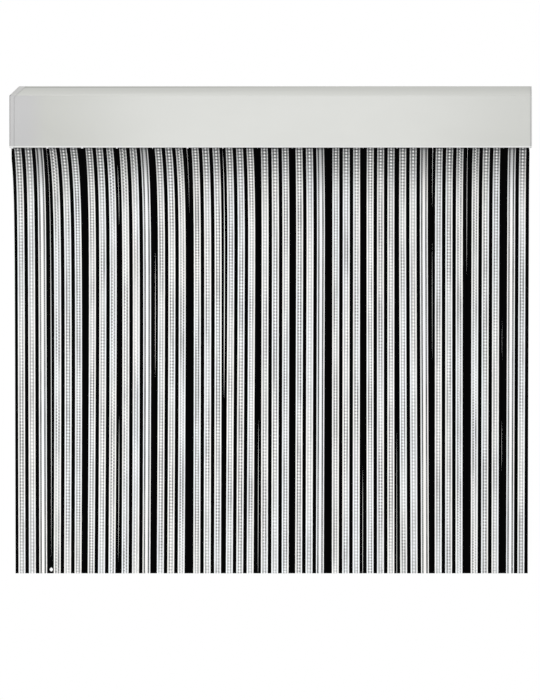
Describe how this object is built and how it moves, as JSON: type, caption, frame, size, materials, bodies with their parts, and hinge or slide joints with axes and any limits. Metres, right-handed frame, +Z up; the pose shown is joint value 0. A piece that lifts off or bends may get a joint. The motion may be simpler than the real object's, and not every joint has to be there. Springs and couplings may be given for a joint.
{
  "type": "strip door curtain",
  "caption": "Door curtain of ribbed clear and glossy black PVC bands in units that swing on a rod inside a pale header box fixed to the wall above the door.",
  "frame": {"origin": "middle of the header's back face, where the wall plate lies on the wall", "axes": "+X along the header to the right as seen from the front, +Y into the wall, +Z up; the front faces -Y"},
  "size_m": [0.9, 0.0608, 0.84],
  "materials": {
    "header_paint": "satin lacquer, pale warm grey",
    "cap_plastic": "satin moulded, pale grey",
    "plate_metal": "mill finish extrusion",
    "rod_steel": "drawn bar",
    "bracket_plastic": "moulded nylon, grey",
    "hanger_plastic": "moulded, near black",
    "black_pvc": "glossy flexible PVC, black",
    "clear_pvc": "glossy ribbed clear PVC, looks white against a pale wall"
  },
  "bodies": {
    "header": {"header_cover": "header_paint", "wall_plate": "plate_metal", "end_cap_left": "cap_plastic", "end_cap_right": "cap_plastic", "hanging_rod": "rod_steel", "rod_bracket_1": "bracket_plastic", "rod_bracket_2": "bracket_plastic", "rod_bracket_3": "bracket_plastic", "rod_bracket_4": "bracket_plastic"},
    "strip_unit_01": {"strip_hanger_01": "hanger_plastic", "black_bands_01": "black_pvc", "clear_bands_01": "clear_pvc"},
    "strip_unit_02": {"strip_hanger_02": "hanger_plastic", "black_bands_02": "black_pvc", "clear_bands_02": "clear_pvc"},
    "strip_unit_03": {"strip_hanger_03": "hanger_plastic", "black_bands_03": "black_pvc", "clear_bands_03": "clear_pvc"},
    "strip_unit_04": {"strip_hanger_04": "hanger_plastic", "black_bands_04": "black_pvc", "clear_bands_04": "clear_pvc"},
    "strip_unit_05": {"strip_hanger_05": "hanger_plastic", "black_bands_05": "black_pvc", "clear_bands_05": "clear_pvc"},
    "strip_unit_06": {"strip_hanger_06": "hanger_plastic", "black_bands_06": "black_pvc", "clear_bands_06": "clear_pvc"},
    "strip_unit_07": {"strip_hanger_07": "hanger_plastic", "black_bands_07": "black_pvc", "clear_bands_07": "clear_pvc"},
    "strip_unit_08": {"strip_hanger_08": "hanger_plastic", "black_bands_08": "black_pvc", "clear_bands_08": "clear_pvc"},
    "strip_unit_09": {"strip_hanger_09": "hanger_plastic", "black_bands_09": "black_pvc", "clear_bands_09": "clear_pvc"},
    "strip_unit_10": {"strip_hanger_10": "hanger_plastic", "black_bands_10": "black_pvc", "clear_bands_10": "clear_pvc"},
    "strip_unit_11": {"strip_hanger_11": "hanger_plastic", "black_bands_11": "black_pvc", "clear_bands_11": "clear_pvc"},
    "strip_unit_12": {"strip_hanger_12": "hanger_plastic", "black_bands_12": "black_pvc", "clear_bands_12": "clear_pvc"},
    "strip_unit_13": {"strip_hanger_13": "hanger_plastic", "black_bands_13": "black_pvc", "clear_bands_13": "clear_pvc"},
    "strip_unit_14": {"strip_hanger_14": "hanger_plastic", "black_bands_14": "black_pvc", "clear_bands_14": "clear_pvc"},
    "strip_unit_15": {"strip_hanger_15": "hanger_plastic", "black_bands_15": "black_pvc", "clear_bands_15": "clear_pvc"}
  },
  "joints": [
    {"name": "strip_swing_01", "type": "hinge", "parent": "header", "child": "strip_unit_01", "pos_m": [-0.41399, -0.03, -0.0365], "axis": [1, 0, 0], "range_deg": [-45, 45]},
    {"name": "strip_swing_02", "type": "hinge", "parent": "header", "child": "strip_unit_02", "pos_m": [-0.35315, -0.03, -0.0365], "axis": [1, 0, 0], "range_deg": [-45, 45]},
    {"name": "strip_swing_03", "type": "hinge", "parent": "header", "child": "strip_unit_03", "pos_m": [-0.29388, -0.03, -0.0365], "axis": [1, 0, 0], "range_deg": [-45, 45]},
    {"name": "strip_swing_04", "type": "hinge", "parent": "header", "child": "strip_unit_04", "pos_m": [-0.23352, -0.03, -0.0365], "axis": [1, 0, 0], "range_deg": [-45, 45]},
    {"name": "strip_swing_05", "type": "hinge", "parent": "header", "child": "strip_unit_05", "pos_m": [-0.17272, -0.03, -0.0365], "axis": [1, 0, 0], "range_deg": [-45, 45]},
    {"name": "strip_swing_06", "type": "hinge", "parent": "header", "child": "strip_unit_06", "pos_m": [-0.1119, -0.03, -0.0365], "axis": [1, 0, 0], "range_deg": [-45, 45]},
    {"name": "strip_swing_07", "type": "hinge", "parent": "header", "child": "strip_unit_07", "pos_m": [-0.05184, -0.03, -0.0365], "axis": [1, 0, 0], "range_deg": [-45, 45]},
    {"name": "strip_swing_08", "type": "hinge", "parent": "header", "child": "strip_unit_08", "pos_m": [0.00733, -0.03, -0.0365], "axis": [1, 0, 0], "range_deg": [-45, 45]},
    {"name": "strip_swing_09", "type": "hinge", "parent": "header", "child": "strip_unit_09", "pos_m": [0.06835, -0.03, -0.0365], "axis": [1, 0, 0], "range_deg": [-45, 45]},
    {"name": "strip_swing_10", "type": "hinge", "parent": "header", "child": "strip_unit_10", "pos_m": [0.12951, -0.03, -0.0365], "axis": [1, 0, 0], "range_deg": [-45, 45]},
    {"name": "strip_swing_11", "type": "hinge", "parent": "header", "child": "strip_unit_11", "pos_m": [0.18926, -0.03, -0.0365], "axis": [1, 0, 0], "range_deg": [-45, 45]},
    {"name": "strip_swing_12", "type": "hinge", "parent": "header", "child": "strip_unit_12", "pos_m": [0.2486, -0.03, -0.0365], "axis": [1, 0, 0], "range_deg": [-45, 45]},
    {"name": "strip_swing_13", "type": "hinge", "parent": "header", "child": "strip_unit_13", "pos_m": [0.30908, -0.03, -0.0365], "axis": [1, 0, 0], "range_deg": [-45, 45]},
    {"name": "strip_swing_14", "type": "hinge", "parent": "header", "child": "strip_unit_14", "pos_m": [0.37084, -0.03, -0.0365], "axis": [1, 0, 0], "range_deg": [-45, 45]},
    {"name": "strip_swing_15", "type": "hinge", "parent": "header", "child": "strip_unit_15", "pos_m": [0.42387, -0.03, -0.0365], "axis": [1, 0, 0], "range_deg": [-45, 45]}
  ]
}
